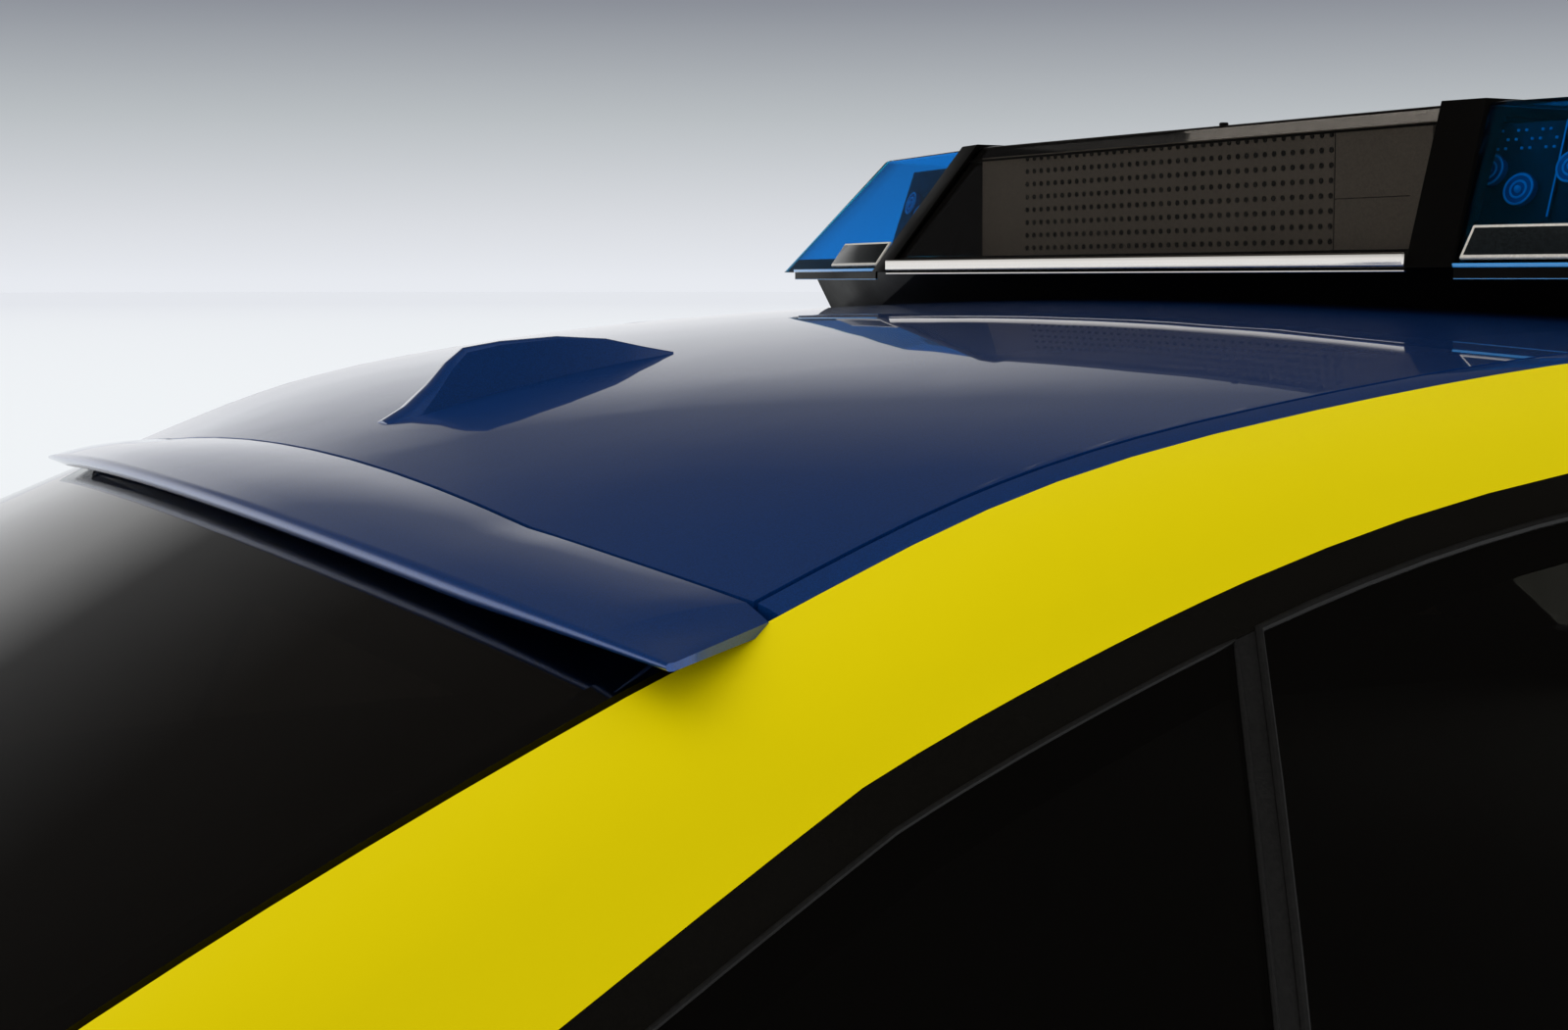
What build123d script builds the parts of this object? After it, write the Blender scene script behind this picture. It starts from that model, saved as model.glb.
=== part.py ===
from build123d import *
import math
import os

# Upper body of a two-door patrol car, cut off level below its windows, with its roof light bar.
# Millimetres. X is the car's right, Y is forward, Z is up. Z = 0 is the level cut, X = 0 the car's middle
# plane, and Y = 0 lies half way between the two ends of the cut.

os.makedirs("parts", exist_ok=True)

# Places of the whole body
TIP_Y = -602.5          # spoiler tips, from the middle of the length
TIP_Z = 330.0           # spoiler tips above the level cut
END_Y = 1302.5          # upright cuts at the two ends, from the middle of the length
CUT_Z = 0.0             # the level cut
UNDER_CUT = 320.0       # how far the body's sections reach below the cut before they are trimmed
SIDE_BULGE = 8.0        # barrel of the body side between corner and lowest point

# Thicknesses and clearances
SKIN = 5.0              # outer panels and glass
FRAME_T = 28.0          # inner frame and trim
SEAT = 0.3              # clearance of a piece on the one that carries it
SHUT = 3.0              # open joint between roof, strips, spoiler and door
SEAL = 4.0              # open joint round the two large panes
BOND = 24.0             # width of frame under the edge of a glass or panel
FAR = 1000.0            # reach of the blocks that cut pieces out of the body
TALL = 700.0            # height of those blocks

# Body sections, from the spoiler tips: y, height of the middle, drop of the crown at the corner,
# half width at the corner, angle of the side above the ground plane, corner radius
STATIONS = (
    (-830.0, -374.0, 78.0, 645.0, 66.0, 55.0),
    (-600.0, -256.0, 64.0, 622.0, 66.0, 55.0),
    (-380.0, -146.0, 50.0, 588.0, 63.5, 60.0),
    (-190.0, -57.0, 43.0, 553.0, 62.0, 75.0),
    (-50.0, 3.0, 40.0, 536.0, 61.0, 90.0),
    (50.0, 41.0, 38.0, 531.0, 61.0, 95.0),
    (150.0, 68.0, 26.0, 530.0, 61.5, 95.0),
    (300.0, 92.0, 18.0, 530.0, 62.0, 95.0),
    (560.0, 115.0, 17.0, 536.0, 63.0, 90.0),
    (850.0, 115.0, 24.0, 552.0, 63.0, 85.0),
    (1080.0, 93.0, 36.0, 570.0, 64.0, 75.0),
    (1250.0, 35.0, 50.0, 602.0, 64.0, 65.0),
    (1500.0, -84.0, 82.0, 665.0, 65.0, 55.0),
    (1750.0, -212.0, 118.0, 716.0, 66.0, 50.0),
    (1950.0, -330.0, 146.0, 738.0, 66.0, 50.0),
    (2050.0, -386.0, 160.0, 744.0, 66.0, 50.0),
)

# Edges seen in plan, as arcs through three points: y from the tips, half width
DITCH = ((40.0, 486.0), (520.0, 479.0), (1080.0, 494.0))
GLASS_EDGE_REAR = ((-830.0, 646.0), (-196.0, 523.0), (-3.0, 504.0))
STRIP_EDGE = ((-3.0, 504.0), (520.0, 497.0), (1085.0, 512.0))
GLASS_EDGE_FRONT = ((1085.0, 512.0), (1500.0, 612.0), (2050.0, 712.0))
ROOF_REAR_Y = (28.0, 57.0)       # roof's rear edge from the tips: middle, at the ditch
ROOF_FRONT_Y = (1090.0, 1040.0)  # roof's front edge from the tips: middle, at the ditch
GLASS_FOOT_REAR = 48.0           # height of the rear glass's lower edge above the cut
GLASS_FOOT_FRONT = 44.0          # height of the windscreen's lower edge above the cut

# Window line seen from the side, from the tips: y, z
WINDOW_TAIL = (-285.0, -221.0)
WINDOW_RISE = (60.0, -43.5)
WINDOW_REAR_ARC = (220.0, 13.5)
WINDOW_SHOULDER = (404.0, 50.0)
WINDOW_CROWN = (720.0, 66.0)
WINDOW_FRONT = (1000.0, 46.0)
WINDOW_FRONT_ARC = (1090.0, 20.0)
WINDOW_PILLAR = (1170.0, -15.0)
WINDOW_NOSE = (1590.0, -225.0)
SILL_REAR = 58.0        # lower edge of the window surround above the cut, at its rear end
SILL_FRONT = 46.0       # the same at its front end
TAIL_KINK = 8.0         # how far the window's rear edge leans forward to the sill
NOSE_KINK = 22.0        # how far the window's front edge runs forward to the sill
SURROUND_W = 15.0       # black surround between painted side and glass
GLASS_BOND = 18.0       # width of side glass that lies on the frame
DIVIDER_TOP = (221.6, -2.7)
DIVIDER_LOW = (183.0, -126.5)
DIVIDER_W = 11.0        # upright seal between the two side glasses

# Roof spoiler, from the tips
SPOILER_HALF = 530.0    # half width at the tips
SPOILER_ROOT = 494.0    # half width at the roof's rear edge
LIP_BOW = 37.0          # how far the lip's middle stands behind its tips
LIP_RISE = 24.0         # how far the lip's middle stands above its tips
LIP_T = 8.0             # thickness of the lip
LIP_UNDER = 26.0        # depth of the hollow below the lip
LIP_ROUND = 2.5         # rounding of the lip's upper and lower edge
SPOILER_CUTS = (-535.0, -500.0, -400.0, -200.0, 0.0, 200.0, 400.0, 500.0, 535.0)

# Fin aerial: y from the tips, height above the roof, half width at the foot, half width at the crest
FIN = (
    (80.0, 1.5, 21.0, 17.0),
    (104.0, 15.0, 27.0, 14.0),
    (130.0, 32.0, 31.0, 8.0),
    (216.0, 19.0, 27.0, 6.0),
    (259.0, 1.5, 8.0, 5.0),
)
FIN_ROOT = 14.0         # how far the fin's sections reach into the roof before they are trimmed

# Light bar, from the tips
BAR_Y = 728.0           # middle of the bar
BAR_LOW = 136.0         # underside of the lamp bodies
BAR_HIGH = 229.0        # crest of the lamp bodies
BAR_FOOT = (550.0, 155.0, 275.0, 34.0)   # at the underside: half length, half depth, half middle, corner
BAR_CREST = (452.0, 96.0, 240.0, 26.0)   # the same at the crest
BAR_SWEEP = 0.19        # how fast the long edges draw in beyond the middle section
CREST_R = 8.0           # rounding along the bar's crest
COVER_T = 3.0           # wall of domes and covers
RIB_T = 30.0            # black rib between middle section and lamp dome
RIB_PROUD = 2.0         # how far a rib stands out of the covers
RIB_DEEP = 9.0          # how far a rib reaches inwards
TRAY_T = 10.0           # floor plate of the bar
FAIRING_IN = 26.0       # how far the fairing below the bar stands in from its edge
STRIP_H = 9.0           # bright strip along the foot of the middle section
STRIP_T = 2.0
SIGN_BACK = 57.0        # sign panel from the bar's rear foot edge
SIGN_T = 4.0
SIGN_HALF = 222.0
SIGN_H = 64.0
PANE_X = (312.0, 420.0) # lamp panes in the domes: from, to
PANE_Z = (10.0, 31.0)   # the same above the bar's underside
PANE_T = 2.0
CORE_X = (318.0, 438.0) # sealed lamp core inside a dome: from, to
CORE_DEEP = (86.0, 63.0)
CORE_H = 66.0
LENS_R = 8.0
LENS_L = 6.0
LENS_PLACES = ((14.0, 46.0), (44.0, 46.0), (74.0, 46.0), (104.0, 46.0), (29.0, 24.0), (59.0, 24.0), (89.0, 24.0))


def polar(degrees):
    return math.cos(math.radians(degrees)), math.sin(math.radians(degrees))


def tip(y, z=0.0):
    """Place measured from the spoiler tips, as (y, z) of the part."""
    return y + TIP_Y, z + TIP_Z


def section(station, depth):
    """Closed outline of the body at one station, pulled in by depth."""
    y, middle, drop, half, slant, corner = station
    y, middle = tip(y, middle)
    crown = (half * half + drop * drop) / (2 * drop)
    c, s = polar(slant)
    centre = (0.0, middle - crown)
    inner = (half - corner * s - centre[0], middle - drop - corner * c - centre[1])
    along = inner[0] * c - inner[1] * s
    reach = -along - math.sqrt(along**2 - inner[0]**2 - inner[1]**2 + (crown - corner)**2)
    pivot = (inner[0] + centre[0] + reach * c, inner[1] + centre[1] - reach * s)
    norm = math.hypot(pivot[0] - centre[0], pivot[1] - centre[1])
    up = ((pivot[0] - centre[0]) / norm, (pivot[1] - centre[1]) / norm)
    shoulder = (centre[0] + up[0] * (crown - depth), centre[1] + up[1] * (crown - depth))
    half_way = (up[0] + s, up[1] + c)
    size = math.hypot(*half_way)
    bend = (pivot[0] + half_way[0] / size * (corner - depth), pivot[1] + half_way[1] / size * (corner - depth))
    top = (pivot[0] + s * (corner - depth), pivot[1] + c * (corner - depth))
    run = (pivot[1] + c * corner + UNDER_CUT) / s
    low = (top[0] + c * run, top[1] - s * run)
    belly = SIDE_BULGE * (run / 500.0) ** 2
    waist = (top[0] + c * run / 2 + s * belly, top[1] - s * run / 2 + c * belly)
    right = [low, waist, top, bend, shoulder]
    p = [Vector(x, y, z) for x, z in right]
    q = [Vector(-x, y, z) for x, z in right]
    crest = Vector(0, y, middle - depth)
    edges = [
        ThreePointArc(p[0], p[1], p[2]),
        ThreePointArc(p[2], p[3], p[4]),
        ThreePointArc(p[4], crest, q[4]),
        ThreePointArc(q[4], q[3], q[2]),
        ThreePointArc(q[2], q[1], q[0]),
        Line(q[0], p[0]),
    ]
    return Face(Wire(edges))


def body(depth):
    """Solid of the whole upper body above the cut, pulled in by depth."""
    whole = loft([section(s, depth) for s in STATIONS])
    kept = Box(2 * FAR, 2 * END_Y, FAR, align=(Align.CENTER, Align.CENTER, Align.MIN))
    return whole & Pos(0, 0, CUT_Z) * kept


def plan(y_half, aside=0.0):
    """Points of an edge seen in plan on the car's right."""
    return [Vector(w + aside, y + TIP_Y) for y, w in y_half]


def flip(points):
    return [Vector(-p.X, p.Y, p.Z) for p in points]


def prism(edges):
    """Upright block over a closed outline in plan."""
    return extrude(Pos(0, 0, -BOND) * Face(Wire(edges)), TALL, dir=(0, 0, 1))


def side_edges(aside=0.0):
    """Inner edge of the painted side seen in plan, from rear glass to windscreen."""
    return [plan(e, aside) for e in (GLASS_EDGE_REAR, STRIP_EDGE, GLASS_EDGE_FRONT)]


def outside(aside=0.0):
    """Upright block over all that lies to the right of the painted side's inner edge."""
    arcs = side_edges(aside)
    first, last = arcs[0][0], arcs[-1][-1]
    far = Polyline(last, (FAR, last.Y), (FAR, first.Y), first)
    return prism([ThreePointArc(*a) for a in arcs] + list(far.edges()))


def between(aside=0.0):
    """Upright block over all that lies between the two painted sides."""
    right = side_edges(aside)
    left = [flip(a) for a in right]
    edges = [ThreePointArc(*a) for a in right + left]
    edges += [Line(right[0][0], left[0][0]), Line(right[-1][-1], left[-1][-1])]
    return prism(edges)


def arc_y(line, at, x):
    """Place of a bowed cross line beside the middle; line holds its y in the middle and its y at one half width."""
    middle, end = line
    radius = (at**2 + (end - middle)**2) / (2 * (end - middle))
    return middle + radius - math.copysign(math.sqrt(radius**2 - x**2), radius)


def bow(line, at, forward=0.0):
    """A bowed cross line carried out to FAR."""
    end = arc_y(line, at, FAR)
    return [Vector(-FAR, end + TIP_Y + forward), Vector(0, line[0] + TIP_Y + forward),
            Vector(FAR, end + TIP_Y + forward)]


def across(rear, front):
    """Upright block between two cross lines."""
    return prism([ThreePointArc(*rear), Line(rear[2], front[2]), ThreePointArc(*front), Line(front[0], rear[0])])


def cross_line(y):
    """A cross line that is all but straight."""
    return [Vector(-FAR, y + TIP_Y), Vector(0, y + TIP_Y + 1.0), Vector(FAR, y + TIP_Y)]


def layer(low, high):
    return Pos(0, 0, low) * Box(FAR * 2, FAR * 4, high - low, align=(Align.CENTER, Align.CENTER, Align.MIN))


def through(points):
    """Block that carries a straight-sided outline, given as y and z, out through the right side."""
    return extrude(Face(Wire(Polyline(*[(0, y, z) for y, z in points], close=True).edges())), FAR, dir=(1, 0, 0))


def window_face():
    """The window line with its black surround, as a face seen from the side."""
    tail, rise, rear_arc, shoulder, crown, front, front_arc, pillar, nose = [Vector(0, *tip(*q)) for q in (
        WINDOW_TAIL, WINDOW_RISE, WINDOW_REAR_ARC, WINDOW_SHOULDER, WINDOW_CROWN,
        WINDOW_FRONT, WINDOW_FRONT_ARC, WINDOW_PILLAR, WINDOW_NOSE)]
    sill_tail = Vector(0, tail.Y + TAIL_KINK, SILL_REAR)
    sill_nose = Vector(0, nose.Y + NOSE_KINK, SILL_FRONT)
    edges = [
        Line(tail, rise), ThreePointArc(rise, rear_arc, shoulder), ThreePointArc(shoulder, crown, front),
        ThreePointArc(front, front_arc, pillar), Line(pillar, nose), Line(nose, sill_nose),
        Line(sill_nose, sill_tail), Line(sill_tail, tail),
    ]
    return Face(Wire(edges))


def side_block(face, by=0.0):
    """Block through the right side over a face seen from the side, drawn in by a margin."""
    shape = offset(face, -by, kind=Kind.INTERSECTION) if by else face
    return extrude(shape, FAR, dir=(1, 0, 0))


def divider_y(z):
    """Place of the joint between the two side glasses at a height above the cut."""
    (y1, z1), (y0, z0) = tip(*DIVIDER_TOP), tip(*DIVIDER_LOW)
    return y0 + (z - z0) * (y1 - y0) / (z1 - z0)


def beside_divider(start, end):
    """Block through the right side, between two places fore and aft of the divider's middle."""
    low, high = -BOND, TALL
    return through([(divider_y(low) + start, low), (divider_y(low) + end, low),
                    (divider_y(high) + end, high), (divider_y(high) + start, high)])


def save(shape, name):
    solids = list(shape.solids())
    export_step(solids[0] if len(solids) == 1 else Compound(solids), f"parts/{name}.step")


def both(shape, name):
    """Write a piece of the car's right side and its mirror image."""
    save(shape, f"{name}_right")
    save(mirror(shape, about=Plane.YZ), f"{name}_left")


# Layers of the body
hull = body(0.0)
under_skin = body(SKIN)
outer = hull - under_skin
inner_face = body(SKIN + SEAT + FRAME_T)
inner = body(SKIN + SEAT) - inner_face
above_hull = body(-SEAT)


def height(x, y):
    """Height of the body's surface over a place in plan."""
    hits = hull.find_intersection_points(Axis((x, y, -BOND), (0, 0, 1)))
    return max(p.Z for p, n in hits)


# Roof and side strips
ditch_half = DITCH[0][1]
front_half = DITCH[2][1]
ditch = plan(DITCH)
ditch_out = plan(DITCH, SHUT)
strip_out = plan(STRIP_EDGE, -SEAT)
roof_zone = across(bow(ROOF_REAR_Y, ditch_half), bow(ROOF_FRONT_Y, front_half))
roof_middle = prism([
    ThreePointArc(*ditch), Line(ditch[2], flip(ditch)[2]),
    ThreePointArc(*flip(ditch)), Line(flip(ditch)[0], ditch[0])])
strip = prism([
    ThreePointArc(*ditch_out), Line(ditch_out[2], strip_out[2]),
    ThreePointArc(*strip_out), Line(strip_out[0], ditch_out[0])])
save(outer & roof_middle & roof_zone, "roof_panel")
both(outer & strip & roof_zone, "roof_strip")

# Painted sides, door tops, window surrounds and side glass
window = window_face()
nose_y = tip(*WINDOW_NOSE)[0] + NOSE_KINK
tail_y = tip(*WINDOW_TAIL)[0] + TAIL_KINK
side_skin = outer & outside()


def sill_block(drop, ahead):
    """Block over the strip below the windows, up to the shut line at the windscreen pillar."""
    return through([(tail_y, -BOND), (nose_y + ahead, -BOND), (nose_y + ahead, SILL_FRONT - drop),
                    (tail_y, SILL_REAR - drop)])


window_block = side_block(window)
glass_block = side_block(window, SURROUND_W)
both(side_skin - window_block - (sill_block(0, 0) & beside_divider(-SHUT, FAR * 2)), "side_panel")
both(side_skin & sill_block(SEAT, -SHUT) & beside_divider(0, FAR * 2), "door_top")
both(side_skin & side_block(window, SEAT) - glass_block, "window_surround")
panes = side_skin & side_block(window, SURROUND_W + SEAT)
half_seal = DIVIDER_W / 2
both(panes & beside_divider(half_seal, FAR * 2), "door_glass")
both(panes & beside_divider(-FAR * 2, -half_seal), "quarter_glass")
both(panes & beside_divider(SEAT - half_seal, half_seal - SEAT), "glass_divider")

# Inner frame of the sides, with the flange that carries the glass
side_frame = inner & outside(-BOND)
both(side_frame - side_block(window, SURROUND_W + GLASS_BOND), "side_frame")

# Windscreen, rear glass and the rails round them
middle_skin = outer & between(-SEAL)
middle_frame = inner & between(-BOND - SEAT)
rear_recess = (LIP_UNDER - LIP_BOW, LIP_UNDER)
rear_end = cross_line(-FAR)
front_end = cross_line(2 * FAR + BOND)
glass_top = bow(rear_recess, SPOILER_HALF)
rear_half = across(rear_end, glass_top)
front_half_zone = across(bow(ROOF_FRONT_Y, front_half, SEAL), front_end)
save(middle_skin & rear_half & layer(GLASS_FOOT_REAR, TALL), "rear_glass")
save(middle_skin & front_half_zone & layer(GLASS_FOOT_FRONT, TALL), "windscreen")
low_rear = across(rear_end, cross_line(0.0))
low_front = across(cross_line(0.0), front_end)
save((middle_skin & low_rear & layer(-BOND, GLASS_FOOT_REAR - SEAL))
     + (hull - inner_face & between(-BOND - SEAT) & low_rear & layer(-BOND, GLASS_FOOT_REAR - SEAL))
     + (middle_frame & low_rear & layer(-BOND, GLASS_FOOT_REAR + BOND)), "deck_rail")
save((middle_skin & low_front & layer(-BOND, GLASS_FOOT_FRONT - SEAL))
     + (hull - inner_face & between(-BOND - SEAT) & low_front & layer(-BOND, GLASS_FOOT_FRONT - SEAL))
     + (middle_frame & low_front & layer(-BOND, GLASS_FOOT_FRONT + BOND)), "cowl_rail")

# Headers and headliner
rear_header_front = bow(ROOF_REAR_Y, ditch_half, BOND)
front_header_rear = bow(ROOF_FRONT_Y, front_half, -BOND)
save(middle_frame & across(bow(rear_recess, SPOILER_HALF, -BOND), rear_header_front), "rear_header")
save(middle_frame & across(bow(ROOF_REAR_Y, ditch_half, BOND + SEAT),
                           bow(ROOF_FRONT_Y, front_half, -BOND - SEAT)), "headliner")
save(middle_frame & across(front_header_rear, bow(ROOF_FRONT_Y, front_half, SEAL + BOND)), "front_header")


def lip(x):
    """Spoiler lip over a place aside of the middle, as (y, z) of the part."""
    return tip(arc_y((-LIP_BOW, 0.0), SPOILER_HALF, x), arc_y((LIP_RISE, 0.0), SPOILER_HALF, x))


def blade(x):
    """Cross section of the spoiler in a fore and aft plane."""
    lip_y, lip_z = lip(x)
    root_y = tip(arc_y(ROOF_REAR_Y, ditch_half, x))[0] - SHUT
    root_z = height(x, root_y)
    floor = root_z - LIP_RISE * 3
    back = lip_y + LIP_UNDER + SEAT
    points = [
        (root_y, root_z), (lip_y + LIP_ROUND * 2, lip_z + LIP_ROUND / 2), (lip_y + LIP_ROUND / 2, lip_z - LIP_ROUND),
        (lip_y, lip_z - LIP_T / 2), (lip_y + LIP_ROUND, lip_z - LIP_T), (back, lip_z - LIP_T + LIP_ROUND),
        (back, floor), (root_y, floor),
    ]
    return Face(Wire(Polyline(*[(x, y, z) for y, z in points], close=True).edges()))


# Spoiler
blade_body = loft([blade(x) for x in SPOILER_CUTS])
tip_y = TIP_Y
root_edge = tip(ROOF_REAR_Y[1])[0]
trim = prism(Polyline(
    (SPOILER_HALF, tip_y - LIP_BOW * 2), (SPOILER_HALF, tip_y), (SPOILER_ROOT, root_edge), (SPOILER_ROOT, root_edge + BOND),
    (-SPOILER_ROOT, root_edge + BOND), (-SPOILER_ROOT, root_edge), (-SPOILER_HALF, tip_y),
    (-SPOILER_HALF, tip_y - LIP_BOW * 2), close=True).edges())
glass_room = hull & across(rear_end, bow(rear_recess, SPOILER_HALF, SEAT))
save((blade_body & trim) - (above_hull - between(-SEAT)) - under_skin - glass_room, "roof_spoiler")


def fin_section(y, rise, foot_half, crest_half):
    y = y + TIP_Y
    base = height(0, y)
    low, high = base - FIN_ROOT, base + rise
    brow = high - crest_half * 0.4
    return Face(Wire([
        Line((-foot_half, y, low), (foot_half, y, low)), Line((foot_half, y, low), (crest_half, y, brow)),
        ThreePointArc((crest_half, y, brow), (0, y, high), (-crest_half, y, brow)),
        Line((-crest_half, y, brow), (-foot_half, y, low))]))


# Fin aerial
save(loft([fin_section(*row) for row in FIN]) - above_hull, "fin_aerial")

# Light bar
bar_y = tip(BAR_Y)[0]
bar_low = tip(0, BAR_LOW)[1]
bar_high = tip(0, BAR_HIGH)[1]


def bar_face(form, z, out):
    """Outline of the bar seen from above at one height, let out by a margin."""
    half, deep, middle, corner = form
    drawn = BAR_SWEEP * (half - middle)
    right = [(middle, -deep), (half, -deep + drawn), (half, deep - drawn), (middle, deep)]
    left = [(-x, y) for x, y in reversed(right)]
    face = Face(Wire(Polyline(*right, *left, close=True).edges()))
    ends = [v for v in face.vertices() if abs(abs(v.X) - half) < SEAT]
    face = fillet(ends, corner)
    if out:
        face = offset(face, out, kind=Kind.INTERSECTION)
    return Pos(0, bar_y, z) * face


def bar_solid(out, crest=0.0):
    return loft([bar_face(BAR_FOOT, bar_low, out), bar_face(BAR_CREST, bar_high + crest, out)], ruled=True)


def span(start, end):
    """Block across the bar between two places beyond the middle section's slanting end."""
    low, high = bar_low - BOND, bar_high + BOND
    fall = (BAR_CREST[2] - BAR_FOOT[2]) / (bar_high - bar_low)
    x_low = BAR_FOOT[2] + fall * (low - bar_low)
    x_high = BAR_FOOT[2] + fall * (high - bar_low)
    pts = [(x_low + start, 0, low), (x_low + end, 0, low), (x_high + end, 0, high), (x_high + start, 0, high)]
    face = Pos(0, bar_y, 0) * Face(Wire(Polyline(*pts, close=True).edges()))
    return extrude(face, FAR / 2, dir=(0, 1, 0), both=True)


bar_outer = bar_solid(0.0)
crest_edges = [e for e in bar_outer.edges() if abs(e.center().Z - bar_high) < SEAT]
bar_outer = fillet(crest_edges, CREST_R)
bar_inner = bar_solid(-COVER_T, -COVER_T)
shell = bar_outer - bar_inner
rib_ring = bar_solid(RIB_PROUD, RIB_PROUD) - bar_solid(-RIB_DEEP, -RIB_DEEP)
not_middle = span(0, FAR) + mirror(span(0, FAR), about=Plane.YZ)
save(shell - not_middle, "bar_cover")
both(rib_ring & span(SEAT, RIB_T - SEAT), "bar_rib")
both(shell & span(RIB_T, FAR), "bar_dome")
rib_room = span(0, RIB_T) - bar_solid(-RIB_DEEP - SEAT, -RIB_DEEP)
tray = bar_solid(-COVER_T - SEAT, -COVER_T) & layer(bar_low, bar_low + TRAY_T)
save(tray - rib_room - mirror(rib_room, about=Plane.YZ), "bar_tray")
fairing_face = Pos(0, 0, -bar_low / 2) * bar_face(BAR_FOOT, bar_low, -FAIRING_IN)
save(extrude(fairing_face, bar_low / 2 - SEAT, dir=(0, 0, 1)) - above_hull, "bar_fairing")
strip_shell = bar_solid(STRIP_T + SEAT) - bar_solid(SEAT)
save(strip_shell - not_middle & layer(bar_low, bar_low + STRIP_H), "bar_strip")
pane_box = Pos(PANE_X[0], bar_y, bar_low + PANE_Z[0]) * Box(
    PANE_X[1] - PANE_X[0], FAR, PANE_Z[1] - PANE_Z[0], align=(Align.MIN, Align.CENTER, Align.MIN))
both((bar_solid(PANE_T + SEAT) - bar_solid(SEAT)) & pane_box, "lamp_pane")
floor_z = bar_low + TRAY_T + SEAT
save(Pos(0, bar_y - BAR_FOOT[1] + SIGN_BACK, floor_z) * Box(
    SIGN_HALF * 2, SIGN_T, SIGN_H, align=(Align.CENTER, Align.CENTER, Align.MIN)), "sign_panel")
(x0, x1), (d0, d1) = CORE_X, CORE_DEEP
core_face = Face(Wire(Polyline((x0, -d0), (x1, -d1), (x1, d1), (x0, d0), close=True).edges()))
both(extrude(Pos(0, bar_y, floor_z) * core_face, CORE_H, dir=(0, 0, 1)), "lamp_core")
lean = math.degrees(math.atan2(d0 - d1, x1 - x0))
lens = Cylinder(LENS_R, LENS_L, align=(Align.CENTER, Align.CENTER, Align.MIN))
rear_lenses = [Pos(x0, bar_y - d0, floor_z) * Rot(0, 0, lean) * Pos(along, -SEAT, up) * Rot(90, 0, 0) * lens
               for along, up in LENS_PLACES]
front_lenses = [mirror(item, about=Plane.XZ.offset(-bar_y)) for item in rear_lenses]
both(Compound(rear_lenses + front_lenses), "lamp_lenses")
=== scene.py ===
import bpy
import math
from mathutils import Matrix, Vector


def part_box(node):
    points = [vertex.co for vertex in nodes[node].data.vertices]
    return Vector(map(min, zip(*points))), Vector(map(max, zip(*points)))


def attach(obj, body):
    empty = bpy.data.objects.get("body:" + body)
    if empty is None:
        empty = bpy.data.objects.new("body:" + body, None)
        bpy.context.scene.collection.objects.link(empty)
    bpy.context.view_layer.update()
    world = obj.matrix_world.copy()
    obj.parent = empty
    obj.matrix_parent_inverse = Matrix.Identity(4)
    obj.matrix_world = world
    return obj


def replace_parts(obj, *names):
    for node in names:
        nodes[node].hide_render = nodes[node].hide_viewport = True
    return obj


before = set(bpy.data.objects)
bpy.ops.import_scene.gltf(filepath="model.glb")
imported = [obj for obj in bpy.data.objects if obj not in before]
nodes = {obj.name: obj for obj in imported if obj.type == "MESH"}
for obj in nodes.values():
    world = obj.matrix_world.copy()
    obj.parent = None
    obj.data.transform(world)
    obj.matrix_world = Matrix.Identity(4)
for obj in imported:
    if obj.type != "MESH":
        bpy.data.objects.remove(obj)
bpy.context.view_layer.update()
scene = bpy.context.scene

# Camera: behind the car's right rear corner, a little above the roof
EYE = Vector((1.2242, -0.9346, 0.4592))
YAW = math.radians(28.549)
PITCH = math.radians(5.841)
LENS, SENSOR = 52.66, 36.0
look = Vector((-math.cos(YAW) * math.cos(PITCH), math.sin(YAW) * math.cos(PITCH), -math.sin(PITCH)))
bpy.ops.object.camera_add(location=EYE, rotation=look.to_track_quat("-Z", "Y").to_euler())
camera = bpy.context.object
camera.data.lens = LENS
camera.data.sensor_width = SENSOR
camera.data.clip_start = 0.02
camera.data.clip_end = 200.0
scene.camera = camera
scene.view_settings.view_transform = "Standard"


def clear_pick():
    """Nothing selected, object mode."""
    if bpy.context.object and bpy.context.object.mode != "OBJECT":
        bpy.ops.object.mode_set(mode="OBJECT")
    bpy.ops.object.select_all(action="DESELECT")


def socket(tree, label, kind, side, value=None):
    """A named entry or exit of a shader group."""
    made = tree.interface.new_socket(name=label, in_out=side, socket_type=kind)
    if value is not None:
        made.default_value = value


def effect(name, inputs, output):
    """An empty shader group with named number inputs and one number output."""
    tree = bpy.data.node_groups.new(name, "ShaderNodeTree")
    for label, value in inputs:
        socket(tree, label, "NodeSocketFloat", "INPUT", value)
    socket(tree, output, "NodeSocketFloat", "OUTPUT")
    start = tree.nodes.new("NodeGroupInput")
    end = tree.nodes.new("NodeGroupOutput")
    return tree, start, end


def wire(tree, source, output, target, entry):
    """A link from a node's output to another node's input."""
    tree.links.new(source.outputs[output], target.inputs[entry])


# Paint ripple: the faint orange peel of a sprayed or rolled surface, with fine grain on top
RIPPLE_INPUTS = (("Scale", 60.0), ("Grain", 900.0), ("Grain Share", 0.2))
ripple, r_in, r_out = effect("paint_ripple", RIPPLE_INPUTS, "Height")
r_place = ripple.nodes.new("ShaderNodeTexCoord")
r_wave = ripple.nodes.new("ShaderNodeTexNoise")
r_wave.inputs["Detail"].default_value = 1.0
r_fine = ripple.nodes.new("ShaderNodeTexNoise")
r_fine.inputs["Detail"].default_value = 2.0
r_mix = ripple.nodes.new("ShaderNodeMix")
wire(ripple, r_place, "Object", r_wave, "Vector")
wire(ripple, r_place, "Object", r_fine, "Vector")
wire(ripple, r_in, "Scale", r_wave, "Scale")
wire(ripple, r_in, "Grain", r_fine, "Scale")
wire(ripple, r_in, "Grain Share", r_mix, "Factor")
wire(ripple, r_wave, "Fac", r_mix, 2)
wire(ripple, r_fine, "Fac", r_mix, 3)
wire(ripple, r_mix, 0, r_out, "Height")

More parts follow.
